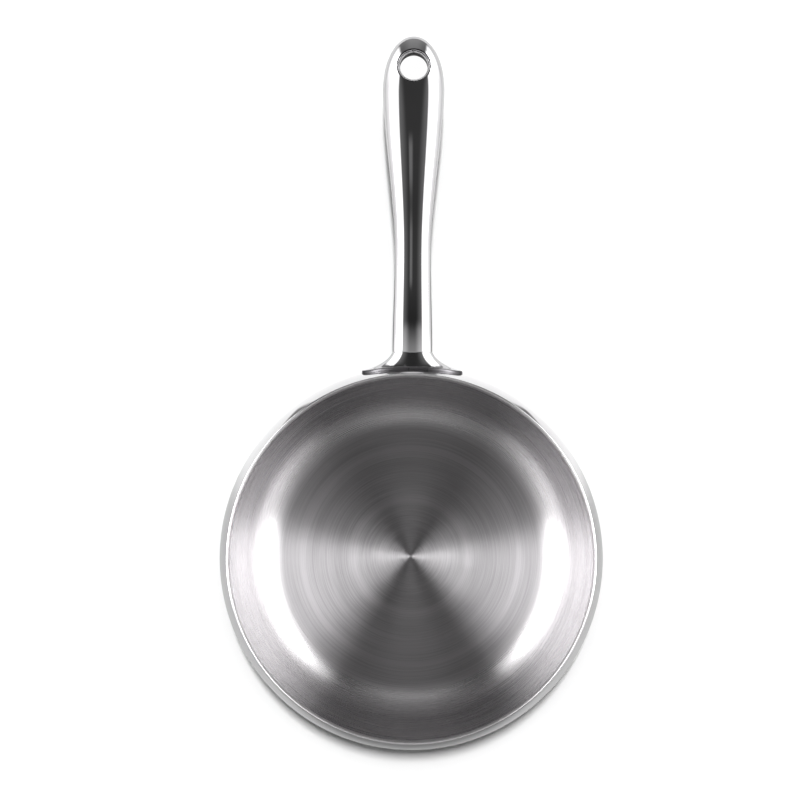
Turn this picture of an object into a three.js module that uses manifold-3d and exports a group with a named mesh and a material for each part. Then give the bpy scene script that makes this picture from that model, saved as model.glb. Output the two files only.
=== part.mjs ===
// Bellied saucepan in stainless steel, 18 cm across the mouth: a drawn body with a pouring lip, a capsule
// base (an aluminium disc closed in by a magnetic steel cap) and a hollow polished handle on a flared flange.
// Millimetres, +Z up. The origin is the centre of the base's underside and the handle points along +Y.
import * as THREE from "three";
import { mergeVertices } from "three/addons/utils/BufferGeometryUtils.js";
import Module from "manifold-3d";

const wasm = await Module();
wasm.setup();

// Driving dimensions of the pan body, measured on its inner surface
const MOUTH_RADIUS = 90;
const BELLY_SWELL = 5.6; // how far the belly stands out past the mouth
const BELLY_HEIGHT = 50; // the widest level, above the inner floor
const BELLY_ARC = 44; // the curve that carries the wall round into the belly
const INNER_DEPTH = 88;
const FLOOR_RADIUS = 66; // the flat part of the floor
const CORNER_ARC = 20;
const BODY_WALL = 1.2;
const LIP_ARC = 4;
const LIP_LEAN = THREE.MathUtils.degToRad(40); // the lip's lean at its edge, outwards from upright

// Driving dimensions of the capsule base
const CAP_WALL = 0.8;
const DISC_THICKNESS = 5;
const DISC_EDGE_ARC = 1.6; // the disc's lower edge, which the cap follows
const DISC_OVERHANG = 2.7; // how far the disc reaches past the flat floor
const DISC_CHAMFER = 0.6;

// Driving dimensions of the flange that carries the handle
const FLANGE_DROP = 15; // from the top of the body down to the flange's top
const FLANGE_HALF_WIDTH = 25;
const FLANGE_HALF_HEIGHT = 10.5;
const FLANGE_EDGE = 1.6;
const FLANGE_STANDOFF = 7.2; // from the body out to the seam with the handle
const FLARE_START = THREE.MathUtils.degToRad(12); // where on a quarter turn the flange's flare begins
const SPIGOT_LENGTH = 12;

// Driving dimensions of the hollow handle
const HANDLE_LENGTH = 160; // from the seam with the flange to the tip
const HANDLE_ROOT_SLOPE = THREE.MathUtils.degToRad(6);
const HANDLE_ROOT_BEND = 14; // how soon the rise at the root dies away
const HANDLE_TIP_DROOP = THREE.MathUtils.degToRad(4.5);
const HANDLE_WALL = 1.2;
const ROOT_HALF_WIDTH = 10.1;
const NECK_HALF_WIDTH = 9.2;
const PALM_HALF_WIDTH = 15.5;
const NECK_REACH = 50; // from the seam to the narrowest place
const PALM_SETBACK = 23; // from the tip back to the widest section
const TIP_ROUNDING = 31; // from the tip back to where the outline begins to close
const ROOT_HALF_THICKNESS = 4.7;
const NECK_HALF_THICKNESS = 4.3;
const PALM_HALF_THICKNESS = 6.9;

// Driving dimensions of the hanging eye
const EYE_SETBACK = 16.1; // from the tip back to the eye's centre
const EYE_BORE_RADIUS = 7;
const EYE_WALL = 1.8;
const EYE_FLARE = 1; // how far the bore opens at each mouth
const EYE_FLARE_DEPTH = 2.5;

// Clearances
const FIT_GAP = 0.3; // between a piece and the neighbour that it was cut to

// Exponents of the rounded outlines: 2 is an ellipse and more is squarer
const GRIP_SQUARENESS = 2.2;
const FLANGE_SQUARENESS = 2.3;
const TIP_PLAN_BLUNTNESS = 2.4;
const TIP_SIDE_BLUNTNESS = 4;

// Facets
const TURN_STEPS = 48;
const SECTION_POINTS = 32;
const HANDLE_STATIONS = 28;
const FLARE_STEPS = 7;
const SPIGOT_STEPS = 4;

// Levels and places that follow from the dimensions
const BELLY_RADIUS = MOUTH_RADIUS + BELLY_SWELL;
const BODY_UNDERSIDE = CAP_WALL + DISC_THICKNESS;
const FLOOR_LEVEL = BODY_UNDERSIDE + BODY_WALL;
const BODY_TOP = FLOOR_LEVEL + INNER_DEPTH;
const DISC_RADIUS = FLOOR_RADIUS + DISC_OVERHANG;
const FLANGE_TOP = BODY_TOP - FLANGE_DROP;
const FLANGE_LEVEL = FLANGE_TOP - FLANGE_HALF_HEIGHT;

// Materials
const satinSteel = new THREE.MeshStandardMaterial({ color: 0xb4b2b4, metalness: 1, roughness: 0.32 });
const polishedSteel = new THREE.MeshStandardMaterial({ color: 0xd0cfd2, metalness: 1, roughness: 0.06 });
const brushedSteel = new THREE.MeshStandardMaterial({ color: 0xa9a8ab, metalness: 1, roughness: 0.4 });
const aluminium = new THREE.MeshStandardMaterial({ color: 0xc9cbce, metalness: 1, roughness: 0.5 });

// Geometry helpers

// A closed geometry as a solid that can be joined and cut.
function toSolid(geometry) {
  const bare = geometry.clone();
  bare.deleteAttribute("normal");
  bare.deleteAttribute("uv");
  const merged = mergeVertices(bare, 1e-4);
  return new wasm.Manifold(
    new wasm.Mesh({
      numProp: 3,
      vertProperties: new Float32Array(merged.attributes.position.array),
      triVerts: new Uint32Array(merged.index.array),
    }),
  );
}

function fromSolid(solid) {
  const { vertProperties, triVerts } = solid.getMesh();
  const geometry = new THREE.BufferGeometry();
  geometry.setAttribute("position", new THREE.BufferAttribute(vertProperties, 3));
  geometry.setIndex(new THREE.BufferAttribute(triVerts, 1));
  geometry.computeVertexNormals();
  return geometry;
}

// A profile of (radius, height) points turned about the Z axis.
function turned(profile) {
  return new THREE.LatheGeometry(profile, TURN_STEPS).rotateX(Math.PI / 2);
}

// Points on an arc of the (radius, height) plane, both ends included.
function arc(centre, radius, from, to, steps) {
  return Array.from({ length: steps + 1 }, (_, i) => {
    const angle = THREE.MathUtils.lerp(from, to, i / steps);
    return new THREE.Vector2(centre.x + radius * Math.cos(angle), centre.y + radius * Math.sin(angle));
  });
}

// A skin over a row of rings of points, closed by a fan to the point given at each end.
function loft(rings, startPoint, endPoint) {
  const count = rings[0].length;
  const points = [...rings.flat(), startPoint, endPoint];
  const start = points.length - 2;
  const end = points.length - 1;
  const lastRing = (rings.length - 1) * count;
  const index = [];
  for (let i = 0; i < count; i++) {
    const next = (i + 1) % count;
    for (let ring = 0; ring < rings.length - 1; ring++) {
      const near = ring * count;
      const far = near + count;
      index.push(near + i, far + i, near + next, near + next, far + i, far + next);
    }
    index.push(start, i, next, end, lastRing + next, lastRing + i);
  }
  return new THREE.BufferGeometry().setFromPoints(points).setIndex(index);
}

// A rounded outline in (x, z), taken round from +x through +z.
function roundedOutline(halfWidth, halfHeight, squareness) {
  const bend = (value) => Math.sign(value) * Math.abs(value) ** (2 / squareness);
  return Array.from({ length: SECTION_POINTS }, (_, i) => {
    const angle = (2 * Math.PI * i) / SECTION_POINTS;
    return new THREE.Vector2(halfWidth * bend(Math.cos(angle)), halfHeight * bend(Math.sin(angle)));
  });
}

function addMesh(group, name, geometry, material) {
  const mesh = new THREE.Mesh(geometry, material.clone());
  mesh.name = name;
  group.add(mesh);
}

// Pan body

// The body's side at a distance outside its inner surface, from the axis at the floor up to the lip's edge:
// a flat floor, a corner arc, a straight leaning wall, the belly, a long arc in to the mouth, and the lip.
function bodySide(distance) {
  const corner = new THREE.Vector2(FLOOR_RADIUS, FLOOR_LEVEL + CORNER_ARC);
  const belly = new THREE.Vector2(BELLY_RADIUS - BELLY_ARC, FLOOR_LEVEL + BELLY_HEIGHT);
  const between = belly.clone().sub(corner);
  // The straight wall touches both arcs, so it stands square to this direction on each of them.
  const swing = Math.asin((CORNER_ARC - BELLY_ARC) / between.length());
  const wallNormal = swing + Math.atan2(-between.x, between.y);

  // The long arc leaves the belly upright, and the lip's arc takes over where it has closed to the mouth.
  const leanAt = (height) => 2 * Math.atan(BELLY_SWELL / height);
  let neckHeight = INNER_DEPTH - BELLY_HEIGHT - LIP_ARC;
  for (let pass = 0; pass < 20; pass++) {
    neckHeight = INNER_DEPTH - BELLY_HEIGHT - LIP_ARC * (Math.sin(leanAt(neckHeight)) + Math.sin(LIP_LEAN));
  }
  const neckLean = leanAt(neckHeight);
  const upperArc = neckHeight / Math.sin(neckLean);
  const upper = new THREE.Vector2(BELLY_RADIUS - upperArc, belly.y);
  const lip = new THREE.Vector2(
    upper.x + (upperArc + LIP_ARC) * Math.cos(neckLean),
    upper.y + (upperArc + LIP_ARC) * Math.sin(neckLean),
  );
  return [
    new THREE.Vector2(0, FLOOR_LEVEL - distance),
    ...arc(corner, CORNER_ARC + distance, -Math.PI / 2, wallNormal, 6),
    ...arc(belly, BELLY_ARC + distance, wallNormal, 0, 4),
    ...arc(upper, upperArc + distance, 0, neckLean, 5).slice(1),
    ...arc(lip, LIP_ARC - distance, Math.PI + neckLean, Math.PI - LIP_LEAN, 4).slice(1),
  ];
}

// The radius of the body's outer face at a level.
function outerRadiusAt(level) {
  const side = bodySide(BODY_WALL);
  const above = side.findIndex((point, i) => i > 1 && point.y >= level);
  const [low, high] = [side[above - 1], side[above]];
  return THREE.MathUtils.mapLinear(level, low.y, high.y, low.x, high.x);
}

function panBody() {
  const outside = bodySide(BODY_WALL);
  const inside = bodySide(0).reverse();
  const edgeCentre = outside.at(-1).clone().lerp(inside[0], 0.5);
  const edge = arc(edgeCentre, BODY_WALL / 2, -LIP_LEAN, Math.PI - LIP_LEAN, 4).slice(1, -1);
  return turned([...outside, ...edge, ...inside]);
}

// Capsule base

// The quarter turn from the underside up to the side, as wide as the radius given.
function lowerEdge(radius, size, level) {
  return arc(new THREE.Vector2(radius - size, level + size), size, -Math.PI / 2, 0, 4);
}

function heatDisc() {
  return turned([
    new THREE.Vector2(0, CAP_WALL),
    ...lowerEdge(DISC_RADIUS, DISC_EDGE_ARC, CAP_WALL),
    new THREE.Vector2(DISC_RADIUS, BODY_UNDERSIDE - DISC_CHAMFER),
    new THREE.Vector2(DISC_RADIUS - DISC_CHAMFER, BODY_UNDERSIDE),
    new THREE.Vector2(0, BODY_UNDERSIDE),
  ]);
}

// A shallow cup round the disc.
function baseCap() {
  const innerRadius = DISC_RADIUS + FIT_GAP;
  const outerRadius = innerRadius + CAP_WALL;
  return turned([
    new THREE.Vector2(0, 0),
    ...lowerEdge(outerRadius, DISC_EDGE_ARC + CAP_WALL, 0),
    new THREE.Vector2(outerRadius, BODY_UNDERSIDE),
    new THREE.Vector2(innerRadius, BODY_UNDERSIDE),
    ...lowerEdge(innerRadius, DISC_EDGE_ARC, CAP_WALL).reverse(),
    new THREE.Vector2(0, CAP_WALL),
  ]);
}

// Handle

const seatRadius = outerRadiusAt(FLANGE_LEVEL);
const seamReach = seatRadius + FLANGE_STANDOFF;
const tipReach = seamReach + HANDLE_LENGTH;
const seamLevel = FLANGE_TOP - ROOT_HALF_THICKNESS;

// The handle's centre line: it rises from the root, levels off and droops evenly on to the tip.
function levelAt(reach) {
  const along = reach - seamReach;
  const rise = HANDLE_ROOT_BEND * Math.tan(HANDLE_ROOT_SLOPE) * (1 - Math.exp(-along / HANDLE_ROOT_BEND));
  return seamLevel + rise - (Math.tan(HANDLE_TIP_DROOP) * along ** 2) / (2 * HANDLE_LENGTH);
}

// Half the width and half the thickness of the grip at a reach, both closing to nothing at the tip.
function gripSize(reach) {
  const { smoothstep, lerp } = THREE.MathUtils;
  const neck = seamReach + NECK_REACH;
  const palm = tipReach - PALM_SETBACK;
  const past = Math.max(0, 1 - (tipReach - reach) / TIP_ROUNDING);
  const closing = (bluntness) => Math.sqrt(1 - Math.min(1, past) ** bluntness);
  const waisted = (rootSize, neckSize, palmSize) => {
    const waist = lerp(rootSize, neckSize, smoothstep(reach, seamReach, neck));
    return lerp(waist, palmSize, smoothstep(reach, neck, palm));
  };
  const width = waisted(ROOT_HALF_WIDTH, NECK_HALF_WIDTH, PALM_HALF_WIDTH);
  const thickness = waisted(ROOT_HALF_THICKNESS, NECK_HALF_THICKNESS, PALM_HALF_THICKNESS);
  return {
    halfWidth: width * closing(TIP_PLAN_BLUNTNESS),
    halfThickness: thickness * closing(TIP_SIDE_BLUNTNESS),
  };
}

function gripRing(reach, inset) {
  const { halfWidth, halfThickness } = gripSize(reach);
  const outline = roundedOutline(halfWidth - inset, halfThickness - inset, GRIP_SQUARENESS);
  return outline.map(({ x, y }) => new THREE.Vector3(x, reach, levelAt(reach) + y));
}

// The grip as a solid, from a reach near the root to its tip, drawn in all round by an inset.
function gripSolid(fromReach, inset) {
  const noseReach = tipReach - inset;
  const isOpen = ({ halfWidth, halfThickness }) => Math.min(halfWidth, halfThickness) > inset + FIT_GAP;
  const reaches = Array.from({ length: HANDLE_STATIONS }, (_, i) => {
    // Stations crowd towards both ends, where the centre line and the outline bend fastest.
    const left = (1 + Math.cos((Math.PI * i) / HANDLE_STATIONS)) / 2;
    return noseReach - (noseReach - fromReach) * left;
  });
  const rings = reaches.filter((reach) => isOpen(gripSize(reach))).map((reach) => gripRing(reach, inset));
  const root = new THREE.Vector3(0, fromReach, levelAt(fromReach));
  const nose = new THREE.Vector3(0, noseReach, levelAt(noseReach));
  return toSolid(loft(rings, root, nose));
}

// Everything on one side of the surface that follows the centre line: side 1 is above it and side -1 below.
function sideOfCentreLine(side) {
  const clear = 2 * (PALM_HALF_WIDTH + PALM_HALF_THICKNESS);
  const from = seamReach - FLANGE_STANDOFF;
  const to = tipReach + FLANGE_STANDOFF;
  const seam = Array.from({ length: HANDLE_STATIONS + 1 }, (_, i) => {
    const reach = THREE.MathUtils.lerp(from, to, i / HANDLE_STATIONS);
    return new THREE.Vector2(reach, levelAt(reach) + (side * FIT_GAP) / 2);
  });
  const far = [seam.at(-1), seam[0]].map(({ x, y }) => new THREE.Vector2(x, y + side * clear));
  const block = new THREE.ExtrudeGeometry(new THREE.Shape([...seam, ...far]), {
    depth: 2 * clear,
    bevelEnabled: false,
  });
  block.translate(0, 0, -clear);
  const across = new THREE.Vector3(1, 0, 0);
  const out = new THREE.Vector3(0, 1, 0);
  const up = new THREE.Vector3(0, 0, 1);
  return toSolid(block.applyMatrix4(new THREE.Matrix4().makeBasis(out, up, across)));
}

// The hanging eye

const eyeReach = tipReach - EYE_SETBACK;
const eyeOuterRadius = EYE_BORE_RADIUS + EYE_WALL;

// Moves a geometry from the Z axis to the eye, square to the handle's centre line there.
function atEye(geometry) {
  const slope = Math.atan2(levelAt(eyeReach + FIT_GAP) - levelAt(eyeReach - FIT_GAP), 2 * FIT_GAP);
  return geometry.rotateX(slope).translate(0, eyeReach, levelAt(eyeReach));
}

// A round post through the grip at the eye.
function eyePost(radius) {
  const height = 4 * PALM_HALF_THICKNESS;
  return toSolid(atEye(new THREE.CylinderGeometry(radius, radius, height, TURN_STEPS).rotateX(Math.PI / 2)));
}

// A sleeve with a flared bore, trimmed flush with the grip's own surface.
function eyeSleeve(grip) {
  const reachUp = 2 * PALM_HALF_THICKNESS;
  const mouth = gripSize(eyeReach).halfThickness;
  const throat = mouth - EYE_FLARE_DEPTH;
  const flare = (side) => [
    new THREE.Vector2(EYE_BORE_RADIUS + EYE_FLARE, side * reachUp),
    new THREE.Vector2(EYE_BORE_RADIUS + EYE_FLARE, side * mouth),
    new THREE.Vector2(EYE_BORE_RADIUS + EYE_FLARE / 3, side * (mouth - EYE_FLARE_DEPTH / 3)),
    new THREE.Vector2(EYE_BORE_RADIUS, side * throat),
  ];
  const outside = [-1, 1].map((side) => new THREE.Vector2(eyeOuterRadius, side * reachUp));
  const profile = [...outside, ...flare(1), ...flare(-1).reverse()];
  return toSolid(atEye(turned([...profile, profile[0].clone()]))).intersect(grip);
}

// The flange

// A ring of the flange: it hugs the body when hug is 1 and lies in the plane of the seam when hug is 0.
// The flange's top runs level into the handle's, so it flares only sideways and down.
function flangeRing(halfWidth, halfHeight, standoff, hug) {
  const centre = FLANGE_TOP - Math.min(halfHeight, FLANGE_HALF_HEIGHT);
  const squareness = THREE.MathUtils.lerp(GRIP_SQUARENESS, FLANGE_SQUARENESS, hug);
  return roundedOutline(halfWidth, halfHeight, squareness).map(({ x, y }) => {
    const level = centre + y;
    const seat = Math.sqrt(outerRadiusAt(level) ** 2 - x ** 2);
    return new THREE.Vector3(x, THREE.MathUtils.lerp(seatRadius, seat, hug) + standoff, level);
  });
}

// A spigot that fills the root of the hollow grip, a trumpet that flares out and a rounded edge on the body.
function handleFlange() {
  const spigotInset = HANDLE_WALL + FIT_GAP;
  const spigotEnd = seamReach + SPIGOT_LENGTH;
  const spigot = Array.from({ length: SPIGOT_STEPS + 1 }, (_, i) =>
    gripRing(THREE.MathUtils.lerp(spigotEnd, seamReach, i / SPIGOT_STEPS), spigotInset),
  );
  const { halfWidth, halfThickness } = gripSize(seamReach);
  const trumpet = Array.from({ length: FLARE_STEPS + 1 }, (_, i) => {
    const angle = THREE.MathUtils.lerp(FLARE_START, Math.PI / 2, i / FLARE_STEPS);
    const narrow = Math.cos(angle) / Math.cos(FLARE_START);
    const inwards = THREE.MathUtils.inverseLerp(Math.sin(FLARE_START), 1, Math.sin(angle));
    return flangeRing(
      THREE.MathUtils.lerp(FLANGE_HALF_WIDTH, halfWidth, narrow),
      THREE.MathUtils.lerp(FLANGE_HALF_HEIGHT, halfThickness, narrow),
      THREE.MathUtils.lerp(FLANGE_STANDOFF, FLANGE_EDGE, inwards),
      inwards,
    );
  });
  // The edge's rounding as (growth, standoff), running on into the body so that the seat can be cut.
  const rounding = [
    [FLANGE_EDGE / 3, FLANGE_EDGE * 0.8],
    [FLANGE_EDGE / 2, FLANGE_EDGE / 3],
    [FLANGE_EDGE / 3, -FLANGE_STANDOFF],
  ];
  const edge = rounding.map(([growth, standoff]) =>
    flangeRing(FLANGE_HALF_WIDTH + growth, FLANGE_HALF_HEIGHT + growth, standoff, 1),
  );
  const rings = [...spigot, ...trumpet, ...edge].reverse();
  const back = new THREE.Vector3(0, seatRadius - FLANGE_STANDOFF, FLANGE_LEVEL);
  const front = new THREE.Vector3(0, spigotEnd, levelAt(spigotEnd));
  const seat = bodySide(BODY_WALL + FIT_GAP);
  const seatSolid = toSolid(turned([...seat, new THREE.Vector2(0, seat.at(-1).y)]));
  return fromSolid(toSolid(loft(rings, back, front)).subtract(seatSolid));
}

// Assembly

const saucepan = new THREE.Group();
saucepan.name = "saucepan";

const vessel = new THREE.Group();
addMesh(vessel, "pan_body", panBody(), satinSteel);
addMesh(vessel, "heat_disc", heatDisc(), aluminium);
addMesh(vessel, "base_cap", baseCap(), brushedSteel);
saucepan.add(vessel);

const handle = new THREE.Group();
const grip = gripSolid(seamReach + FIT_GAP, 0);
const hollow = gripSolid(seamReach - FLANGE_STANDOFF, HANDLE_WALL);
const shell = grip.subtract(hollow).subtract(eyePost(eyeOuterRadius + FIT_GAP));
addMesh(handle, "handle_flange", handleFlange(), polishedSteel);
addMesh(handle, "handle_upper_shell", fromSolid(shell.intersect(sideOfCentreLine(1))), polishedSteel);
addMesh(handle, "handle_lower_shell", fromSolid(shell.intersect(sideOfCentreLine(-1))), polishedSteel);
addMesh(handle, "hanging_eye", fromSolid(eyeSleeve(grip)), polishedSteel);
saucepan.add(handle);

export default saucepan;
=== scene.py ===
"""Looks of a bellied stainless steel saucepan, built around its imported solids.

Shapes are worked out in millimetres and written to the meshes in metres. +Z is up, the handle points along +Y
and the origin is the centre of the base's underside.
"""
import math

import bmesh
import bpy
import numpy as np
from mathutils import Matrix, Vector


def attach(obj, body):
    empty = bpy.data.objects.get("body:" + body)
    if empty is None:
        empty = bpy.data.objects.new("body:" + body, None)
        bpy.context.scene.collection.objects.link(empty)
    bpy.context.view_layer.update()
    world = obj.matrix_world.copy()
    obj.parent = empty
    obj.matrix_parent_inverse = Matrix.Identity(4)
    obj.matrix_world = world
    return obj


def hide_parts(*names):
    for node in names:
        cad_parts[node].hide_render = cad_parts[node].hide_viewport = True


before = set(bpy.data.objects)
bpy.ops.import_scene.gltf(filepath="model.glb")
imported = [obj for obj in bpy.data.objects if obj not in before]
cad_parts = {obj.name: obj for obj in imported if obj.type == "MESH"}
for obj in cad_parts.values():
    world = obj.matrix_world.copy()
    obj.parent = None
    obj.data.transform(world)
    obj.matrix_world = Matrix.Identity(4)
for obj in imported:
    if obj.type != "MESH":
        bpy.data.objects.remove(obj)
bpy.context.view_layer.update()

MM = 0.001

# Pan body, on its inner surface
MOUTH_RADIUS = 90.0
BELLY_SWELL = 5.6
BELLY_HEIGHT = 50.0
BELLY_ARC = 44.0
INNER_DEPTH = 88.0
FLOOR_RADIUS = 66.0
CORNER_ARC = 20.0
BODY_WALL = 1.2
LIP_ARC = 4.0
LIP_LEAN = math.radians(40)

# Capsule base
CAP_WALL = 0.8
DISC_THICKNESS = 5.0
DISC_EDGE_ARC = 1.6
DISC_OVERHANG = 2.7

# Flange
FLANGE_DROP = 15.0
FLANGE_HALF_WIDTH = 25.0
FLANGE_HALF_HEIGHT = 10.5
FLANGE_EDGE = 1.6
FLANGE_STANDOFF = 7.2
FLARE_START = math.radians(12)

# Handle
HANDLE_LENGTH = 160.0
HANDLE_ROOT_SLOPE = math.radians(4)
HANDLE_ROOT_BEND = 21.0
HANDLE_TIP_DROOP = math.radians(4.5)
ROOT_HALF_WIDTH = 10.1
NECK_HALF_WIDTH = 9.2
PALM_HALF_WIDTH = 15.5
NECK_REACH = 50.0
PALM_SETBACK = 23.0
TIP_ROUNDING = 31.0
ROOT_HALF_THICKNESS = 4.7
NECK_HALF_THICKNESS = 4.3
PALM_HALF_THICKNESS = 6.9
GRIP_SQUARENESS = 2.2
FLANGE_SQUARENESS = 2.3
TIP_PLAN_BLUNTNESS = 2.4
TIP_SIDE_BLUNTNESS = 4.0

# Hanging eye
EYE_SETBACK = 16.1
EYE_BORE_RADIUS = 7.0
EYE_WALL = 1.8
EYE_FLARE = 1.0
EYE_FLARE_DEPTH = 2.5
EYE_ROUNDING = 0.12

FIT_GAP = 0.3

# Mesh fineness, with spacings in millimetres
TURN_STEPS = 192
CORNER_STEPS = 28
BELLY_STEPS = 16
NECK_STEPS = 28
LIP_STEPS = 12
RIM_STEPS = 10
RIM_MIRROR_STEPS = 6
FLOOR_SPACING = 4.0
WALL_SPACING = 1.0
CAP_EDGE_STEPS = 12
CAP_TOP_STEPS = 8
SECTION_STEPS = 96
GRIP_STATIONS = 150
GRIP_CROWDING = 1.5
EYE_STEPS = 128
EYE_ROUNDING_STEPS = 6
EYE_FLARE_STEPS = 8
FLARE_STEPS = 32
EDGE_STEPS = 8

# Where the photograph shows the pan: its frame, the rim's centre and the point that the pan's axis runs to
PHOTO_PX = 800
RIM_CENTRE_PX = (411.4, 558.65)
AXIS_POINT_PX = (400.6, 512.6)
MM_PER_PX = 0.495
CAMERA_DISTANCE = 1500.0
SENSOR_WIDTH = 36.0
HANDLE_LEAN = math.radians(0.3)

# Studio: sizes in metres, tones as colours and light as strengths, where 1 is white
TABLE_HALF_WIDTH = 0.31
TABLE_HALF_LENGTH = 0.9
TABLE_TONE = 0.2
PAPER_TONE = 0.95
# Painted light on the table as the metal mirrors it: paler zones by the belly's sides, its back and the
# handle
TONE_LIFT_BY_SIDES = 0.32
TONE_LIFT_BY_BACK = 0.36
TONE_LIFT_BY_HANDLE = 0.55
# A spot of the table under the hanging eye glows white for the camera, hiding the handle's shadow there:
# painted light
PAINTED_LIGHT_SPOT = (0.0003, 0.2578)
PAINTED_LIGHT_SPOT_RADIUS = 0.0080
PAINTED_LIGHT_SPOT_FADE = 0.0015
BOX_LOW = 0.42
BOX_MIDDLE = 1.05
BOX_CROWN = 0.55
BOX_CORE = 12.5
BOX_LOWER_GAIN = 1.3
BOX_BACK_WING = 0.9
BOX_FRONT_WING = 0.5
CEILING = 0.03
BACK_GREY = 0.055
BACK_BUMP = 0.95
BACK_LOW = 0.12
FRONT_GREY = 0.028
FRONT_BUMP = 0.60
FRONT_HIGH = 0.07
FRONT_LOW = 0.40
FRONT_BAND = 0.30
FRONT_SIDES = 0.25
BOX_FRINGE = 0.15
CEILING_STREAK = 0.17
BELOW_HORIZON = 0.15
BELOW_TABLE = 0.35
AFTER_DIFFUSE = 0.01
LAMP_HEIGHT = 5.0

# Where the table's painted-light zones change, in metres. Each pair is the start and the end of a change
SIDES_ALONG = (-0.14, -0.09)
BACK_ALONG = (0.03, 0.07)
BELLY_ZONE_RADIUS = (0.155, 0.175)
NECK_ACROSS = (0.075, 0.085)
NECK_ALONG = (0.100, 0.108)
GRIP_ACROSS = (0.03, 0.06)
GRIP_ALONG = (0.13, 0.20)
TIP_ALONG = (0.262, 0.285)

# Where the room's light changes. Each pair is the start and the end of a change: a TURN in degrees back from
# straight sideways, a FALL in degrees down from overhead, and the rest as parts of a direction of length 1
LEFT_TO_RIGHT = (-0.1, 0.1)
LEFT_BOX_SHIFT = 3.0
RIGHT_BOX_SHIFT = -1.0
BOX_BACK_TURN = (50.0, 59.0)
BOX_FRONT_TURN = (-20.0, -2.0)
BOX_LOWER_TURN = (-80.0, -8.0)
BOX_LOWER_FALL = (40.0, 50.0)
BOX_MIDDLE_UP = (-0.25, 0.5)
BOX_CROWN_UP = (0.45, 0.65)
BOX_TOP_FALL = (23.0, 26.0)
BOX_FOOT_UP = (-0.30, -0.25)
CORE_FALL = (26.0, 43.0)
CORE_UP = (0.45, 0.66)
CORE_BACK_TURN = (32.0, 56.0)
CORE_BACK_SHARE = 0.14
BACK_WING_TURN = (14.0, 30.0)
FRONT_WING_TURN = (-2.0, -14.0)
FRONT_WING_END_TURN = (-60.0, -25.0)
WING_FALL = (44.0, 54.0)
WING_UP = (0.05, 0.2)
BUMP_TOP_UP = (0.96, 0.88)
BUMP_FOOT_UP = (0.70, 0.80)
BUMP_FOOT_SHARE = 0.16
BUMP_TURN = (58.0, 86.0)
FAR_LOW_TURN = (35.0, 60.0)
FAR_LOW_UP = (0.78, 0.62)
BACK_GREY_BACK = (0.03, 0.12)
BACK_LOW_UP = (0.64, 0.0)
FRONT_LOW_UP = (0.82, 0.68)
FRONT_BACK = (-0.12, -0.2)
BAND_START_BACK = (0.045, -0.09)
BAND_END_BACK = (-0.3, -0.15)
FRONT_SIDES_SIDE = (0.05, 0.3)
FRONT_SIDES_BACK = (-0.35, -0.2)
FRONT_TO_BACK = (0.0, 0.04)
FRINGE_FALL = (6.0, 23.0)
FRINGE_BACK_TURN = (32.0, 54.0)
FRINGE_FRONT_TURN = (-60.0, -40.0)
HORIZON_UP = (-0.24, -0.21)
STREAK_LEFT = 0.06
STREAK_EDGE = (0.02, 0.07)
STREAK_UP = (0.9, 0.95)
STREAK_START_BACK = (0.094, 0.107)
STREAK_END_BACK = (0.13, 0.16)
BELOW_TABLE_UP = (-0.6, -0.7)

# Levels and places that follow from the sizes
BELLY_RADIUS = MOUTH_RADIUS + BELLY_SWELL
BODY_UNDERSIDE = CAP_WALL + DISC_THICKNESS
FLOOR_LEVEL = BODY_UNDERSIDE + BODY_WALL
BODY_TOP = FLOOR_LEVEL + INNER_DEPTH
DISC_RADIUS = FLOOR_RADIUS + DISC_OVERHANG
FLANGE_TOP = BODY_TOP - FLANGE_DROP
FLANGE_LEVEL = FLANGE_TOP - FLANGE_HALF_HEIGHT


# profiles


def arc(centre, radius, start, stop, steps):
    """Points on an arc of the (radius, height) plane, both ends included."""
    angles = np.linspace(start, stop, steps + 1)
    return np.column_stack((centre[0] + radius * np.cos(angles), centre[1] + radius * np.sin(angles)))


def line(start, stop, spacing):
    """Points between two points, without the last one."""
    start, stop = np.asarray(start, float), np.asarray(stop, float)
    steps = max(1, round(np.linalg.norm(stop - start) / spacing))
    return start + (stop - start) * (np.arange(steps) / steps)[:, None]


def body_side(distance):
    """The body's side at a distance outside its inner surface, as its floor, its wall and its lip."""
    corner = np.array((FLOOR_RADIUS, FLOOR_LEVEL + CORNER_ARC))
    belly = np.array((BELLY_RADIUS - BELLY_ARC, FLOOR_LEVEL + BELLY_HEIGHT))
    across, up = belly - corner
    wall_normal = math.asin((CORNER_ARC - BELLY_ARC) / math.hypot(across, up)) + math.atan2(-across, up)
    neck_height = INNER_DEPTH - BELLY_HEIGHT - LIP_ARC
    for _ in range(20):
        lean = 2 * math.atan(BELLY_SWELL / neck_height)
        neck_height = INNER_DEPTH - BELLY_HEIGHT - LIP_ARC * (math.sin(lean) + math.sin(LIP_LEAN))
    upper_arc = neck_height / math.sin(lean)
    upper = np.array((BELLY_RADIUS - upper_arc, belly[1]))
    lip = upper + (upper_arc + LIP_ARC) * np.array((math.cos(lean), math.sin(lean)))
    corner_arc = arc(corner, CORNER_ARC + distance, -math.pi / 2, wall_normal, CORNER_STEPS)
    belly_arc = arc(belly, BELLY_ARC + distance, wall_normal, 0, BELLY_STEPS)
    floor = line((0, FLOOR_LEVEL - distance), corner_arc[0], FLOOR_SPACING)
    wall = np.vstack(
        (
            corner_arc[:-1],
            line(corner_arc[-1], belly_arc[0], WALL_SPACING),
            belly_arc[:-1],
            arc(upper, upper_arc + distance, 0, lean, NECK_STEPS)[:-1],
        )
    )
    lip_arc = arc(lip, LIP_ARC - distance, math.pi + lean, math.pi - LIP_LEAN, LIP_STEPS)
    return floor, wall, lip_arc


OUTER_SIDE = np.vstack(body_side(BODY_WALL)[1:])


def outer_radius(level):
    """The radius of the body's outer face at a level."""
    return np.interp(level, OUTER_SIDE[:, 1], OUTER_SIDE[:, 0])


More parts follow.
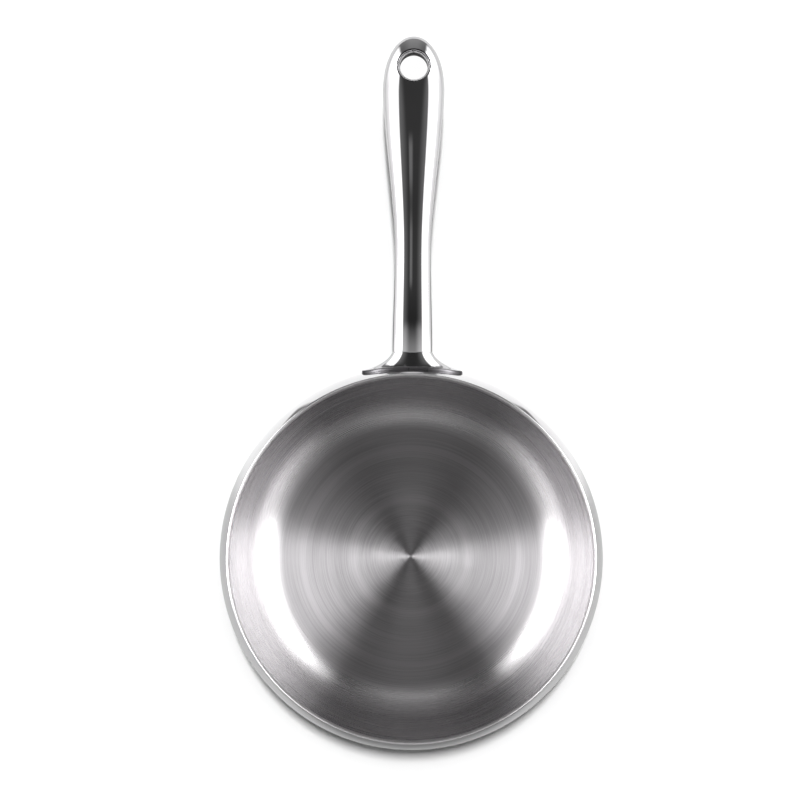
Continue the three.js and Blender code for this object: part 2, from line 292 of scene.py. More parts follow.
SEAT_RADIUS = float(outer_radius(FLANGE_LEVEL))
SEAM_REACH = SEAT_RADIUS + FLANGE_STANDOFF
TIP_REACH = SEAM_REACH + HANDLE_LENGTH
SEAM_LEVEL = FLANGE_TOP - ROOT_HALF_THICKNESS
EYE_REACH = TIP_REACH - EYE_SETBACK


def smoothstep(low, high, value):
    t = np.clip((value - low) / (high - low), 0, 1)
    return t * t * (3 - 2 * t)


def lerp(low, high, t):
    return low + (high - low) * t


def grip_level(reach):
    """The level of the handle's centre line at a reach: it rises, levels off and droops towards the tip."""
    along = np.asarray(reach, float) - SEAM_REACH
    rise = HANDLE_ROOT_BEND * math.tan(HANDLE_ROOT_SLOPE) * (1 - np.exp(-along / HANDLE_ROOT_BEND))
    return SEAM_LEVEL + rise - math.tan(HANDLE_TIP_DROOP) * along**2 / (2 * HANDLE_LENGTH)


def grip_size(reach):
    """Half the handle's width and half its thickness at a reach."""
    reach = np.asarray(reach, float)
    neck = SEAM_REACH + NECK_REACH
    palm = TIP_REACH - PALM_SETBACK
    past = np.clip(1 - (TIP_REACH - reach) / TIP_ROUNDING, 0, 1)

    def waisted(root_size, neck_size, palm_size):
        waist = lerp(root_size, neck_size, smoothstep(SEAM_REACH, neck, reach))
        return lerp(waist, palm_size, smoothstep(neck, palm, reach))

    width = waisted(ROOT_HALF_WIDTH, NECK_HALF_WIDTH, PALM_HALF_WIDTH)
    thickness = waisted(ROOT_HALF_THICKNESS, NECK_HALF_THICKNESS, PALM_HALF_THICKNESS)
    return width * np.sqrt(1 - past**TIP_PLAN_BLUNTNESS), thickness * np.sqrt(1 - past**TIP_SIDE_BLUNTNESS)


def rounded_outline(half_width, half_height, squareness):
    """A rounded outline in (x, z), taken round from +x through +z."""
    angles = 2 * math.pi * np.arange(SECTION_STEPS) / SECTION_STEPS

    def bend(value):
        return np.sign(value) * np.abs(value) ** (2 / squareness)

    return half_width * bend(np.cos(angles)), half_height * bend(np.sin(angles))


def grip_ring(reach):
    x, z = rounded_outline(*grip_size(reach), GRIP_SQUARENESS)
    return np.column_stack((x, np.full(SECTION_STEPS, reach), grip_level(reach) + z))


def grip_field(points):
    """A measure that is 1 on the handle's surface and less inside it."""
    width, thickness = grip_size(points[:, 1])
    across = np.abs(points[:, 0]) / np.maximum(width, 1e-4)
    up = np.abs(points[:, 2] - grip_level(points[:, 1])) / np.maximum(thickness, 1e-4)
    return across**GRIP_SQUARENESS + up**GRIP_SQUARENESS


def grip_normals(points):
    """The directions square to the handle's surface at points on it."""
    step = 1e-3
    slopes = [grip_field(points + step * axis) - grip_field(points - step * axis) for axis in np.eye(3)]
    normals = np.column_stack(slopes)
    return normals / np.linalg.norm(normals, axis=1)[:, None]


def eye_frame():
    """The hanging eye's centre and its across, along and up directions, square to the handle there."""
    step = FIT_GAP
    slope = math.atan2(float(grip_level(EYE_REACH + step) - grip_level(EYE_REACH - step)), 2 * step)
    centre = np.array((0, EYE_REACH, float(grip_level(EYE_REACH))))
    along = np.array((0, math.cos(slope), math.sin(slope)))
    up = np.array((0, -math.sin(slope), math.cos(slope)))
    return centre, np.array((1.0, 0, 0)), along, up


def out_to_grip(points, direction):
    """How far each point is from the handle's surface along a direction."""
    low = np.zeros(len(points))
    high = np.full(len(points), 2 * PALM_HALF_THICKNESS)
    for _ in range(40):
        middle = (low + high) / 2
        inside = grip_field(points + middle[:, None] * direction) < 1
        low = np.where(inside, middle, low)
        high = np.where(inside, high, middle)
    return low


def flange_ring(half_width, half_height, standoff, hug):
    """A ring of the flange: on the body when hug is 1 and in the plane of the handle's seam when hug is 0."""
    centre = FLANGE_TOP - min(half_height, FLANGE_HALF_HEIGHT)
    x, z = rounded_outline(half_width, half_height, lerp(GRIP_SQUARENESS, FLANGE_SQUARENESS, hug))
    seat = np.sqrt(outer_radius(centre + z) ** 2 - x**2)
    return np.column_stack((x, lerp(SEAT_RADIUS, seat, hug) + standoff, centre + z))


# meshes


def new_piece(name, points, faces, materials, face_materials=None):
    """A smooth-shaded piece of the pan that rides on its one body."""
    mesh = bpy.data.meshes.new(name)
    mesh.from_pydata((np.asarray(points) * MM).tolist(), [], faces)
    for material in materials:
        mesh.materials.append(material)
    if face_materials is not None:
        mesh.polygons.foreach_set("material_index", face_materials)
    made = bmesh.new()
    made.from_mesh(mesh)
    bmesh.ops.recalc_face_normals(made, faces=made.faces)
    made.to_mesh(mesh)
    made.free()
    mesh.shade_smooth()
    piece = bpy.data.objects.new(name, mesh)
    bpy.context.scene.collection.objects.link(piece)
    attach(piece, "root")
    return piece


def turned(name, profile, zones, materials):
    """A profile of (radius, height) points, from the axis back to the axis, turned about Z.

    zones gives the material of each stretch between two points.
    """
    angles = 2 * math.pi * np.arange(TURN_STEPS) / TURN_STEPS
    across, along = np.cos(angles), np.sin(angles)
    rings = [np.column_stack((r * across, r * along, np.full(TURN_STEPS, z))) for r, z in profile[1:-1]]
    points = np.vstack((*rings, (0, 0, profile[0][1]), (0, 0, profile[-1][1])))
    start = len(points) - 2
    end = len(points) - 1
    faces = []
    kinds = []
    last = (len(rings) - 1) * TURN_STEPS
    for i in range(TURN_STEPS):
        j = (i + 1) % TURN_STEPS
        faces += [(start, i, j), (end, last + j, last + i)]
        kinds += [zones[0], zones[-1]]
        for ring in range(len(rings) - 1):
            near = ring * TURN_STEPS
            far = near + TURN_STEPS
            faces.append((near + i, far + i, far + j, near + j))
            kinds.append(zones[ring + 1])
    return new_piece(name, points, faces, materials, kinds)


def loft_faces(rings, count):
    """Faces over rows of rings, with the two end points after the last ring."""
    start = rings * count
    faces = []
    for i in range(count):
        j = (i + 1) % count
        faces += [(start, i, j), (start + 1, start - count + j, start - count + i)]
        for ring in range(rings - 1):
            near = ring * count
            far = near + count
            faces.append((near + i, far + i, far + j, near + j))
    return faces


# materials


class Nodes:
    """Short ways to add nodes to a tree and join them."""

    def __init__(self, tree):
        self.tree = tree
        tree.nodes.clear()

    def add(self, kind, **settings):
        node = self.tree.nodes.new(kind)
        for key, value in settings.items():
            setattr(node, key, value)
        return node

    def put(self, socket, value):
        if isinstance(value, bpy.types.NodeSocket):
            self.tree.links.new(value, socket)
        else:
            socket.default_value = value

    def math(self, operation, *values):
        node = self.add("ShaderNodeMath", operation=operation)
        for socket, value in zip(node.inputs, values):
            self.put(socket, value)
        return node.outputs[0]

    def product(self, first, *others):
        for other in others:
            first = self.math("MULTIPLY", first, other)
        return first

    def total(self, first, *others):
        for other in others:
            first = self.math("ADD", first, other)
        return first

    def length(self, x, y):
        return self.math("SQRT", self.total(self.product(x, x), self.product(y, y)))

    def angle(self, y, x):
        """The angle of (x, y) in degrees."""
        return self.math("DEGREES", self.math("ARCTAN2", y, x))

    def mixed(self, factor, first, second):
        """The first shader where the factor is 0 and the second where it is 1."""
        node = self.add("ShaderNodeMixShader")
        for socket, value in zip(node.inputs, (factor, first.outputs[0], second.outputs[0])):
            self.put(socket, value)
        return node

    def span(self, value, low, high, to_low=0.0, to_high=1.0, smooth=True):
        kind = "SMOOTHSTEP" if smooth else "LINEAR"
        node = self.add("ShaderNodeMapRange", interpolation_type=kind)
        for socket, given in zip(node.inputs, (value, low, high, to_low, to_high)):
            self.put(socket, given)
        return node.outputs[0]

    def noise(self, vector, scale, detail=2.0, roughness=0.5):
        node = self.add("ShaderNodeTexNoise")
        self.put(node.inputs["Vector"], vector)
        self.put(node.inputs["Scale"], scale)
        self.put(node.inputs["Detail"], detail)
        self.put(node.inputs["Roughness"], roughness)
        return node.outputs[0]

    def place(self):
        return self.add("ShaderNodeTexCoord").outputs["Object"]

    def split(self, vector):
        node = self.add("ShaderNodeSeparateXYZ")
        self.put(node.inputs[0], vector)
        return node.outputs

    def join(self, x, y, z):
        node = self.add("ShaderNodeCombineXYZ")
        for socket, value in zip(node.inputs, (x, y, z)):
            self.put(socket, value)
        return node.outputs[0]

    def colours(self, factor, low, high):
        node = self.add("ShaderNodeMix", data_type="RGBA")
        self.put(node.inputs["Factor"], factor)
        for socket, colour in ((node.inputs["A"], low), (node.inputs["B"], high)):
            self.put(socket, (*colour, 1) if isinstance(colour, tuple) else colour)
        return node.outputs["Result"]


def metal(name, anisotropy=0.0):
    """A metal with its shader and its output, ready for its colour, roughness and bump."""
    material = bpy.data.materials.new(name)
    material.use_nodes = True
    nodes = Nodes(material.node_tree)
    shader = nodes.add("ShaderNodeBsdfPrincipled")
    shader.inputs["Metallic"].default_value = 1.0
    shader.inputs["Anisotropic"].default_value = anisotropy
    output = nodes.add("ShaderNodeOutputMaterial")
    nodes.put(output.inputs["Surface"], shader.outputs[0])
    return material, nodes, shader


def brushed_round(
    name, dark, light, roughness, spread, anisotropy, depth, pitch, wall=None, haze=0.0, rings=()
):
    """Steel brushed in circles about Z: scratches a pitch apart, in metres, and brighter rings at some radii.

    wall is the dark colour, the light colour and the roughness that the surface changes to past the floor,
    and haze is the share of a duller, even shine.
    """
    material, nodes, shader = metal(name, anisotropy)
    shader.inputs["Anisotropic Rotation"].default_value = 0.25
    x, y, z = nodes.split(nodes.place())
    radius = nodes.length(x, y)
    safe = nodes.math("MAXIMUM", radius, 1e-5)
    across = nodes.math("DIVIDE", x, safe)
    along = nodes.math("DIVIDE", y, safe)
    run = nodes.math("ADD", radius, z)
    fine = nodes.noise(nodes.join(across, along, nodes.math("DIVIDE", run, pitch)), 1.0, 3.0, 0.7)
    lines = nodes.noise(nodes.join(0.0, 0.0, nodes.math("DIVIDE", run, pitch * 2.5)), 1.0, 2.0, 0.6)
    bands = nodes.noise(nodes.join(across, along, nodes.math("DIVIDE", run, pitch * 16)), 0.6, 2.0)
    mixed = nodes.total(nodes.product(fine, 0.45), nodes.product(lines, 0.3), nodes.product(bands, 0.25))
    for place, width in rings:
        off = nodes.math("ABSOLUTE", nodes.math("SUBTRACT", radius, place))
        mixed = nodes.math("ADD", mixed, nodes.span(off, 0.0, width, 0.08, 0.0))
    shade = nodes.span(mixed, 0.36, 0.64)
    past_floor = nodes.span(radius, (FLOOR_RADIUS - 2) * MM, (FLOOR_RADIUS + 0.4 * CORNER_ARC) * MM)
    wall_dark, wall_light, wall_roughness = wall or (dark, light, roughness)
    floor_colour = nodes.colours(shade, dark, light)
    wall_colour = nodes.colours(shade, wall_dark, wall_light)
    colour = nodes.colours(past_floor, floor_colour, wall_colour)
    nodes.put(shader.inputs["Base Color"], colour)
    middle = nodes.span(past_floor, 0.0, 1.0, roughness, wall_roughness, smooth=False)
    unevenness = nodes.span(mixed, 0.3, 0.7, -spread, spread)
    nodes.put(shader.inputs["Roughness"], nodes.math("ADD", middle, unevenness))
    bump = nodes.add("ShaderNodeBump")
    bump.inputs["Strength"].default_value = 0.2
    bump.inputs["Distance"].default_value = depth
    nodes.put(bump.inputs["Height"], fine)
    nodes.put(shader.inputs["Normal"], bump.outputs[0])
    tangent = nodes.add("ShaderNodeTangent", direction_type="RADIAL", axis="Z")
    nodes.put(shader.inputs["Tangent"], tangent.outputs[0])
    if haze:
        dull = nodes.add("ShaderNodeBsdfPrincipled")
        dull.inputs["Metallic"].default_value = 1.0
        dull.inputs["Roughness"].default_value = 0.75
        nodes.put(dull.inputs["Base Color"], colour)
        both = nodes.mixed(nodes.span(past_floor, 0.0, 1.0, haze, haze / 4, smooth=False), shader, dull)
        nodes.put(material.node_tree.nodes["Material Output"].inputs["Surface"], both.outputs[0])
    return material


def polished(name, dark, light, roughness, haze):
    """Mirror-polished steel with faint wipe marks and a haze that comes and goes."""
    material, nodes, shader = metal(name)
    place = nodes.place()
    smear = nodes.noise(place, 22.0, 3.0, 0.6)
    stretch = nodes.add("ShaderNodeMapping", vector_type="POINT")
    stretch.inputs["Scale"].default_value = (900.0, 60.0, 900.0)
    nodes.put(stretch.inputs["Vector"], place)
    wipes = nodes.noise(stretch.outputs[0], 1.0, 2.0, 0.7)
    mixed = nodes.total(nodes.product(smear, 0.7), nodes.product(wipes, 0.3))
    nodes.put(shader.inputs["Base Color"], nodes.colours(nodes.span(smear, 0.3, 0.7), dark, light))
    nodes.put(shader.inputs["Roughness"], nodes.span(mixed, 0.35, 0.75, roughness, roughness + haze))
    bump = nodes.add("ShaderNodeBump")
    bump.inputs["Strength"].default_value = 0.05
    bump.inputs["Distance"].default_value = 2e-5
    nodes.put(bump.inputs["Height"], wipes)
    nodes.put(shader.inputs["Normal"], bump.outputs[0])
    return material


# The inside's floor gets darker steel than its wall: painted shade that dims the floor's shine
inside_steel = brushed_round(
    "inside_steel",
    (0.34, 0.332, 0.34),
    (0.466, 0.454, 0.466),
    roughness=0.32,
    spread=0.03,
    anisotropy=1.0,
    depth=1e-5,
    pitch=4e-4,
    wall=((0.52, 0.508, 0.518), (0.645, 0.63, 0.642), 0.27),
    haze=0.01,
    rings=((0.030, 0.0035), (0.0565, 0.003)),
)
lip_steel = brushed_round(
    "lip_steel",
    (0.62, 0.61, 0.615),
    (0.70, 0.69, 0.695),
    roughness=0.34,
    spread=0.04,
    anisotropy=0.0,
    depth=4e-6,
    pitch=3e-4,
)
mirror_steel = polished(
    "mirror_steel", (0.66, 0.655, 0.665), (0.74, 0.735, 0.745), roughness=0.025, haze=0.05
)
handle_steel = polished(
    "handle_steel", (0.68, 0.675, 0.685), (0.76, 0.755, 0.765), roughness=0.02, haze=0.045
)
# Near-black steel for the eye's level rings and the flange's edge and back: painted shade, standing in for
# their dark reflections
painted_shade_steel = polished("painted_shade_steel", (0.07, 0.068, 0.072), (0.12, 0.117, 0.122), roughness=0.25, haze=0.10)
base_steel = brushed_round(
    "base_steel",
    (0.50, 0.50, 0.51),
    (0.62, 0.62, 0.63),
    roughness=0.34,
    spread=0.06,
    anisotropy=0.7,
    depth=4e-5,
    pitch=6e-4,
)
disc_aluminium = brushed_round(
    "disc_aluminium",
    (0.66, 0.67, 0.68),
    (0.78, 0.79, 0.80),
    roughness=0.45,
    spread=0.06,
    anisotropy=0.2,
    depth=2e-5,
    pitch=8e-4,
)


# pieces


def make_body():
    in_floor, in_wall, in_lip = body_side(0)
    out_floor, out_wall, out_lip = body_side(BODY_WALL)
    edge_centre = (in_lip[-1] + out_lip[-1]) / 2
    edge = arc(edge_centre, BODY_WALL / 2, -LIP_LEAN, math.pi - LIP_LEAN, RIM_STEPS)[1:-1]
    stretches = (
        (out_floor, 2),
        (out_wall, 2),
        (out_lip, 2),
        (edge[:RIM_MIRROR_STEPS], 2),
        (edge[RIM_MIRROR_STEPS:], 1),
        (in_lip[::-1], 1),
        (in_wall[::-1], 0),
        (in_floor[::-1], 0),
    )
    profile = np.vstack([points for points, _ in stretches])
    zones = [kind for points, kind in stretches for _ in points][:-1]
    return turned("pan_shell", profile, zones, (inside_steel, lip_steel, mirror_steel))


def lower_edge(radius, size, level):
    return arc((radius - size, level + size), size, -math.pi / 2, 0, CAP_EDGE_STEPS)


def make_cap():
    inner = DISC_RADIUS + FIT_GAP
    outer = inner + CAP_WALL
    rounded = CAP_WALL / 2
    top = arc((outer - rounded, BODY_UNDERSIDE - rounded), rounded, 0, math.pi, CAP_TOP_STEPS)
    under = lower_edge(outer, DISC_EDGE_ARC + CAP_WALL, 0)
    above = lower_edge(inner, DISC_EDGE_ARC, CAP_WALL)[::-1]
    stretches = (
        (line((0, 0), under[0], FLOOR_SPACING), 0),
        (under, 1),
        (top, 1),
        (above, 0),
        (line((0, CAP_WALL), above[-1], FLOOR_SPACING)[::-1], 0),
    )
    profile = np.vstack([points for points, _ in stretches])
    zones = [kind for points, kind in stretches for _ in points][:-1]
    return turned("base_cup", profile, zones, (base_steel, mirror_steel))


def make_flange():
    """The flared root of the handle, with a back that follows the wall and near-black steel along its welded
    edge: painted shade.
    """
    half_width, half_thickness = (float(size) for size in grip_size(SEAM_REACH))
    rings = []
    first = math.sin(FLARE_START)
    for angle in np.linspace(FLARE_START, math.pi / 2, FLARE_STEPS + 1):
        narrow = math.cos(angle) / math.cos(FLARE_START)
        inwards = (math.sin(angle) - first) / (1 - first)
        rings.append(
            flange_ring(
                lerp(FLANGE_HALF_WIDTH, half_width, narrow),
                lerp(FLANGE_HALF_HEIGHT, half_thickness, narrow),
                lerp(FLANGE_STANDOFF, FLANGE_EDGE, inwards),
                inwards,
            )
        )
    flare_rings = len(rings)
    bulge = FLANGE_EDGE / 4
    for angle in np.linspace(0, math.pi / 2, EDGE_STEPS + 1)[1:]:
        grown = bulge * math.sin(angle)
        standoff = lerp(FLANGE_EDGE / 3, FLANGE_EDGE, math.cos(angle))
        rings.append(flange_ring(FLANGE_HALF_WIDTH + grown, FLANGE_HALF_HEIGHT + grown, standoff, 1))
    sunk = BODY_WALL / 3
    for share in (1, 0.75, 0.5, 0.25):
        wide, high = share * (FLANGE_HALF_WIDTH + bulge), share * (FLANGE_HALF_HEIGHT + bulge)
        rings.append(flange_ring(wide, high, -sunk, 1))
    points = np.vstack((*rings, (0, SEAM_REACH, SEAM_LEVEL), (0, SEAT_RADIUS - sunk, FLANGE_LEVEL)))
    # The flange's edge, its sunk back and its end cap get the near-black steel: painted shade
    kinds = [0, 1] + [int(ring >= flare_rings) for ring in range(len(rings) - 1)]
    faces = loft_faces(len(rings), SECTION_STEPS)
    return new_piece("flange_root", points, faces, (handle_steel, painted_shade_steel), kinds * SECTION_STEPS)


def make_grip():
    """The two welded shells as one polished grip, with a clean hole for the eye."""
    left = 1 - np.arange(GRIP_STATIONS) / GRIP_STATIONS
    reaches = TIP_REACH - HANDLE_LENGTH * left**GRIP_CROWDING
    rings = [grip_ring(reach) for reach in reaches]
    points = np.vstack((*rings, (0, SEAM_REACH, SEAM_LEVEL), (0, TIP_REACH, float(grip_level(TIP_REACH)))))
    piece = new_piece("grip", points, loft_faces(len(rings), SECTION_STEPS), (handle_steel,))

    cutter_mesh = bpy.data.meshes.new("eye_cutter")
    made = bmesh.new()
    radius = (EYE_BORE_RADIUS + EYE_WALL) * MM
    bmesh.ops.create_cone(
        made,
        cap_ends=True,
        segments=EYE_STEPS,
        radius1=radius,
        radius2=radius,
        depth=4 * PALM_HALF_THICKNESS * MM,
    )
    centre, across, along, up = eye_frame()
    turn = Matrix((across, along, up)).transposed()
    placed = Matrix.Translation(Vector(centre * MM)) @ turn.to_4x4()
    bmesh.ops.transform(made, matrix=placed, verts=made.verts)
    made.to_mesh(cutter_mesh)
    made.free()
    cutter = bpy.data.objects.new("eye_cutter", cutter_mesh)
    bpy.context.scene.collection.objects.link(cutter)
    cut = piece.modifiers.new("eye", "BOOLEAN")
    cut.operation = "DIFFERENCE"
    cut.solver = "EXACT"
    cut.object = cutter
    bpy.context.view_layer.update()
    graph = bpy.context.evaluated_depsgraph_get()
    holed = bpy.data.meshes.new_from_object(piece.evaluated_get(graph))
    piece.modifiers.clear()
    piece.data = holed
    holed.name = "grip"
    bpy.data.objects.remove(cutter)
    bpy.data.meshes.remove(cutter_mesh)
    places = np.empty(3 * len(holed.vertices))
    holed.vertices.foreach_get("co", places)
    holed.shade_smooth()
    holed.normals_split_custom_set_from_vertices(grip_normals(places.reshape(-1, 3) / MM).tolist())
    return piece


def make_eye():
    """The sleeve round the hole: a level ring at each face of the grip that rounds over into the bore. The
    level rings get near-black steel: painted shade.
    """
    centre, across, along, up = eye_frame()
    angles = 2 * math.pi * np.arange(EYE_STEPS) / EYE_STEPS
    spokes = np.cos(angles)[:, None] * across + np.sin(angles)[:, None] * along
    outer = EYE_BORE_RADIUS + EYE_WALL
    rim = centre + outer * spokes
    mouth_radius = EYE_BORE_RADIUS + EYE_FLARE
    bore = [(outer, 0.0), (outer - EYE_ROUNDING / 4, 0.0), (mouth_radius + 1.2 * EYE_ROUNDING, 0.0)]
    for angle in np.linspace(0, math.pi / 2, EYE_ROUNDING_STEPS + 1):
        inwards, down = 1 - math.sin(angle), 1 - math.cos(angle)
        bore.append((mouth_radius + EYE_ROUNDING * inwards, EYE_ROUNDING * down))
    for t in np.linspace(0, 1, EYE_FLARE_STEPS + 1)[1:]:
        bore.append((EYE_BORE_RADIUS + EYE_FLARE * (1 - t) ** 2, lerp(EYE_ROUNDING, EYE_FLARE_DEPTH, t)))
    rows = []
    for side in (1, -1):
        level = out_to_grip(rim, side * up)
        mouth = [centre + radius * spokes + side * (level - depth)[:, None] * up for radius, depth in bore]
        rows += mouth if side == 1 else mouth[::-1]
    count = len(rows)
    faces = []
    for i in range(EYE_STEPS):
        j = (i + 1) % EYE_STEPS
        for row in range(count):
            near = row * EYE_STEPS
            far = (row + 1) % count * EYE_STEPS
            faces.append((near + i, far + i, far + j, near + j))
    # The level rings and the sleeve's outer wall get the near-black steel: painted shade
    level_rows = (0, 1, count - 3, count - 2, count - 1)
    kinds = [int(row in level_rows) for _ in range(EYE_STEPS) for row in range(count)]
    piece = new_piece("eye_sleeve", np.vstack(rows), faces, (handle_steel, painted_shade_steel), kinds)
    for edge in piece.data.edges:
        first, second = (vertex // EYE_STEPS for vertex in edge.vertices)
        edge.use_edge_sharp = first == second and first in (0, count - 1)
    return piece


for piece, slot, nodes in (
    (make_body(), "satin_steel", ("pan_body",)),
    (make_cap(), "base_steel", ("base_cap",)),
    (make_flange(), "polished_steel", ("handle_flange",)),
    (make_grip(), "polished_steel", ("handle_upper_shell", "handle_lower_shell")),
    (make_eye(), "polished_steel", ("hanging_eye",)),
):
    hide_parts(*nodes)

heat_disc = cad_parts["heat_disc"]
heat_disc.data.materials.clear()
heat_disc.data.materials.append(disc_aluminium)


# studio


def table_grey_and_painted_light(nodes, x, y):
    """The table's grey as the metal mirrors it, with painted light: paler zones round the belly's sides and
    back and by the handle.
    """
    side = nodes.math("ABSOLUTE", x)
    by_sides = nodes.span(y, *SIDES_ALONG, 0.0, TONE_LIFT_BY_SIDES)
    by_back = nodes.span(y, *BACK_ALONG, 0.0, TONE_LIFT_BY_BACK)
    by_neck = nodes.product(nodes.span(side, *NECK_ACROSS), nodes.span(y, *NECK_ALONG))
    near = nodes.span(nodes.length(x, y), *BELLY_ZONE_RADIUS, 1.0, 0.0)
    by_belly = nodes.product(nodes.total(by_sides, by_back), nodes.math("SUBTRACT", 1.0, by_neck), near)
    by_grip = nodes.product(nodes.span(side, *GRIP_ACROSS), nodes.span(y, *GRIP_ALONG))
    past_tip = nodes.span(y, *TIP_ALONG)
    by_handle = nodes.span(nodes.math("MAXIMUM", by_grip, past_tip), 0.0, 1.0, 0.0, TONE_LIFT_BY_HANDLE)
    return nodes.total(nodes.math("MAXIMUM", by_belly, by_handle), TABLE_TONE)


def make_floor():
    """A table under the pan. The camera alone sees it as white paper, with a painted glowing spot under the
    hanging eye where the handle's shadow would show.
    """
    signs = ((-1, -1), (1, -1), (1, 1), (-1, 1))
    corners = [(x * TABLE_HALF_WIDTH, y * TABLE_HALF_LENGTH, 0) for x, y in signs]
    mesh = bpy.data.meshes.new("floor")
    mesh.from_pydata(corners, [], [(0, 1, 2, 3)])
    floor = bpy.data.objects.new("floor", mesh)
    bpy.context.scene.collection.objects.link(floor)
    material = bpy.data.materials.new("floor_paper")
    material.use_nodes = True
    nodes = Nodes(material.node_tree)
    x, y, _ = nodes.split(nodes.place())
    by_camera = nodes.add("ShaderNodeLightPath").outputs["Is Camera Ray"]
    seen = nodes.math("MAXIMUM", table_grey_and_painted_light(nodes, x, y), nodes.product(by_camera, PAPER_TONE))
    paper = nodes.add("ShaderNodeBsdfDiffuse")
    nodes.put(paper.inputs["Color"], nodes.join(seen, seen, seen))
    # Painted light: an emission spot under the hanging eye, seen by the camera from above only
    off = nodes.length(nodes.math("SUBTRACT", x, PAINTED_LIGHT_SPOT[0]), nodes.math("SUBTRACT", y, PAINTED_LIGHT_SPOT[1]))
    painted_light_glow = nodes.span(off, PAINTED_LIGHT_SPOT_RADIUS, PAINTED_LIGHT_SPOT_RADIUS + PAINTED_LIGHT_SPOT_FADE, 1.0, 0.0)
    above = nodes.math("SUBTRACT", 1.0, nodes.add("ShaderNodeNewGeometry").outputs["Backfacing"])
    both = nodes.mixed(nodes.product(painted_light_glow, above, by_camera), paper, nodes.add("ShaderNodeEmission"))
    output = nodes.add("ShaderNodeOutputMaterial")
    nodes.put(output.inputs["Surface"], both.outputs[0])
    mesh.materials.append(material)


def soft_boxes(nodes, x, z, turn, fall):
    """A tall soft box on each side: a glow, a bright core high up, and wings to the back and to the front.

    turn is how far back a direction points from straight sideways, and fall how far down it is from overhead.
    """
    reach = nodes.total(turn, nodes.span(x, *LEFT_TO_RIGHT, LEFT_BOX_SHIFT, RIGHT_BOX_SHIFT))
    end = nodes.span(reach, *BOX_BACK_TURN, 1.0, 0.0)
    upper = nodes.product(nodes.span(turn, *BOX_FRONT_TURN), end)
    lower = nodes.product(nodes.span(turn, *BOX_LOWER_TURN, 0.0, BOX_LOWER_GAIN), end)
    lower = nodes.product(lower, nodes.span(fall, *BOX_LOWER_FALL))
    level = nodes.span(z, *BOX_MIDDLE_UP, BOX_LOW, BOX_MIDDLE, smooth=False)
    level = nodes.total(level, nodes.span(z, *BOX_CROWN_UP, 0.0, BOX_CROWN))
    glow = nodes.product(nodes.math("MAXIMUM", upper, lower), level)
    core = nodes.product(nodes.span(fall, *CORE_FALL, 0.0, BOX_CORE), nodes.span(z, *CORE_UP))
    core = nodes.product(core, nodes.span(reach, *CORE_BACK_TURN, 1.0, CORE_BACK_SHARE), upper)
    back_wing = nodes.product(nodes.span(turn, *BACK_WING_TURN, 0.0, BOX_BACK_WING), end)
    front_wing = nodes.span(turn, *FRONT_WING_TURN, 0.0, BOX_FRONT_WING)
    front_wing = nodes.product(front_wing, nodes.span(turn, *FRONT_WING_END_TURN))
    wings = nodes.total(back_wing, front_wing)
    wings = nodes.product(wings, nodes.span(fall, *WING_FALL), nodes.span(z, *WING_UP))
    light = nodes.total(glow, core, wings)
    return nodes.product(light, nodes.span(fall, *BOX_TOP_FALL), nodes.span(z, *BOX_FOOT_UP))


def studio_greys(nodes, y, z, side, turn, fall):
    """A dark ceiling, with greys behind and in front of the table and a fringe round the soft boxes."""
    off_side = nodes.math("ABSOLUTE", turn)
    bump = nodes.product(nodes.span(z, *BUMP_TOP_UP), nodes.span(z, *BUMP_FOOT_UP, BUMP_FOOT_SHARE, 1.0))
    bump = nodes.product(bump, nodes.span(off_side, *BUMP_TURN))
    far_low = nodes.product(nodes.span(off_side, *FAR_LOW_TURN), nodes.span(z, *FAR_LOW_UP, 0.0, BACK_LOW))
    behind = nodes.total(
        nodes.span(y, *BACK_GREY_BACK, CEILING, BACK_GREY),
        nodes.span(z, *BACK_LOW_UP, 0.0, BACK_LOW, smooth=False),
        nodes.product(bump, BACK_BUMP),
        far_low,
    )
    near = nodes.total(nodes.product(bump, FRONT_BUMP), nodes.span(z, *FRONT_LOW_UP, FRONT_HIGH, FRONT_LOW))
    near = nodes.product(near, nodes.span(y, *FRONT_BACK))
    band = nodes.product(nodes.span(y, *BAND_START_BACK, 0.0, FRONT_BAND), nodes.span(y, *BAND_END_BACK))
    sides = nodes.span(side, *FRONT_SIDES_SIDE, 0.0, FRONT_SIDES)
    sides = nodes.product(sides, nodes.span(y, *FRONT_SIDES_BACK))
    front = nodes.total(nodes.math("MAXIMUM", near, band), FRONT_GREY, sides)
    back_share = nodes.span(y, *FRONT_TO_BACK)
    front_share = nodes.math("SUBTRACT", 1.0, back_share)
    greys = nodes.total(nodes.product(front, front_share), nodes.product(behind, back_share))
    fringe = nodes.span(fall, *FRINGE_FALL, 0.0, BOX_FRINGE)
    fringe = nodes.product(fringe, nodes.span(turn, *FRINGE_BACK_TURN, 1.0, 0.0))
    fringe = nodes.product(fringe, nodes.span(turn, *FRINGE_FRONT_TURN))
    return nodes.product(nodes.total(greys, fringe), nodes.span(z, *HORIZON_UP, BELOW_HORIZON, 1.0))


def ceiling_streak(nodes, x, y, z):
    """A faint light overhead, which the handle shows as a thin streak."""
    off = nodes.math("ABSOLUTE", nodes.total(x, STREAK_LEFT))
    streak = nodes.product(nodes.span(off, *STREAK_EDGE, CEILING_STREAK, 0.0), nodes.span(z, *STREAK_UP))
    streak = nodes.product(streak, nodes.span(y, *STREAK_START_BACK))
    return nodes.product(streak, nodes.span(y, *STREAK_END_BACK, 1.0, 0.0))


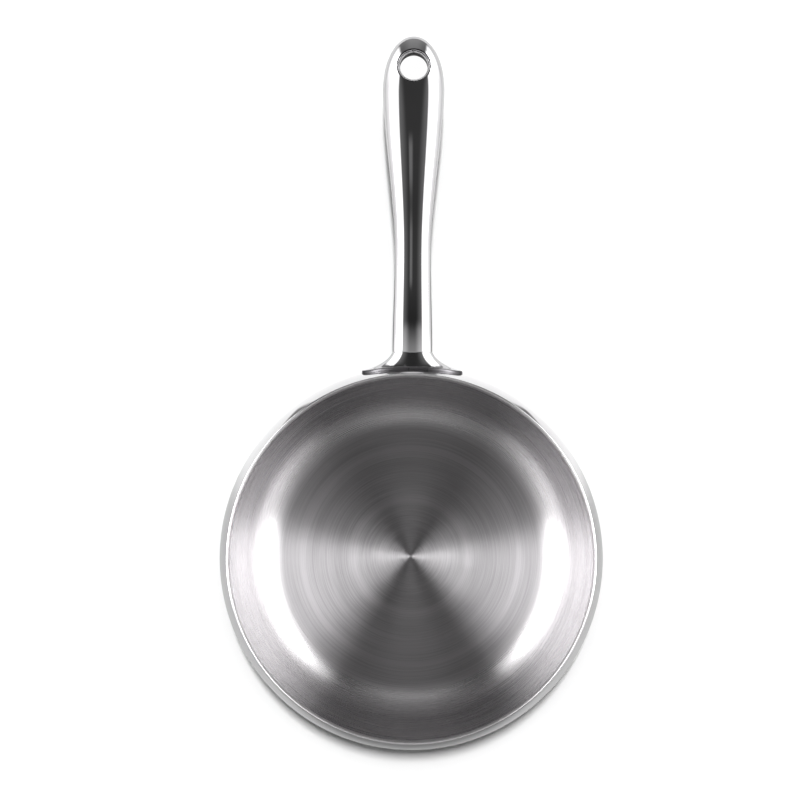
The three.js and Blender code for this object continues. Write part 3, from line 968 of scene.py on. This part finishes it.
def make_world():
    """The room that the metal mirrors. The camera sees white instead, and the table isn't lit by it."""
    world = bpy.data.worlds.new("studio")
    world.use_nodes = True
    world.cycles_visibility.diffuse = False
    bpy.context.scene.world = world
    nodes = Nodes(world.node_tree)
    x, y, z = nodes.split(nodes.add("ShaderNodeTexCoord").outputs["Generated"])
    side = nodes.math("ABSOLUTE", x)
    turn = nodes.angle(y, side)
    fall = nodes.angle(side, z)
    light = nodes.total(
        soft_boxes(nodes, x, z, turn, fall),
        studio_greys(nodes, y, z, side, turn, fall),
        ceiling_streak(nodes, x, y, z),
        nodes.span(z, *BELOW_TABLE_UP, 0.0, BELOW_TABLE),
    )
    path = nodes.add("ShaderNodeLightPath").outputs
    lit = nodes.add("ShaderNodeBackground")
    dimmed = nodes.span(path["Diffuse Depth"], 0.0, 1.0, 1.0, AFTER_DIFFUSE)
    nodes.put(lit.inputs["Strength"], nodes.product(light, dimmed))
    white = nodes.add("ShaderNodeBackground")
    white.inputs["Strength"].default_value = 1.0
    output = nodes.add("ShaderNodeOutputWorld")
    nodes.put(output.inputs["Surface"], nodes.mixed(path["Is Camera Ray"], lit, white).outputs[0])


def make_lamp(name, width, length, energy, back):
    """A lamp above and a little behind the pan, for the table and its shadow. Metal doesn't mirror it."""
    lamp = bpy.data.lights.new(name, "AREA")
    lamp.shape = "RECTANGLE"
    lamp.size = width
    lamp.size_y = length
    lamp.energy = energy
    holder = bpy.data.objects.new(name, lamp)
    holder.location = (0.0, back, LAMP_HEIGHT)
    holder.visible_glossy = False
    bpy.context.scene.collection.objects.link(holder)


def make_camera():
    """A camera at the photograph's place: nearly straight above, with the handle at the top of the frame."""

    def on_rim_plane(px):
        x = (px[0] - RIM_CENTRE_PX[0]) * MM_PER_PX
        y = (RIM_CENTRE_PX[1] - px[1]) * MM_PER_PX
        return Vector((x, y, BODY_TOP)) * MM

    stand = on_rim_plane(AXIS_POINT_PX) + Vector((0, 0, CAMERA_DISTANCE * MM))
    target = on_rim_plane((PHOTO_PX / 2, PHOTO_PX / 2))
    back = (stand - target).normalized()
    right = Vector((0, 1, 0)).cross(back).normalized()
    up = back.cross(right)
    camera = bpy.data.objects.new("camera", bpy.data.cameras.new("camera"))
    camera.data.sensor_width = SENSOR_WIDTH
    camera.data.lens = SENSOR_WIDTH * (stand - target).length / (MM_PER_PX * MM * PHOTO_PX)
    camera.matrix_world = Matrix((right, up, back)).transposed().to_4x4()
    camera.matrix_world.translation = stand
    camera.matrix_world = Matrix.Rotation(HANDLE_LEAN, 4, "Z") @ camera.matrix_world
    bpy.context.scene.collection.objects.link(camera)
    bpy.context.scene.camera = camera


make_floor()
make_world()
make_lamp("key", width=0.12, length=0.4, energy=185.0, back=0.58)
make_lamp("fill", width=2.6, length=1.6, energy=128.0, back=0.8)
make_camera()
bpy.context.scene.view_settings.view_transform = "Standard"

bpy.context.view_layer.update()
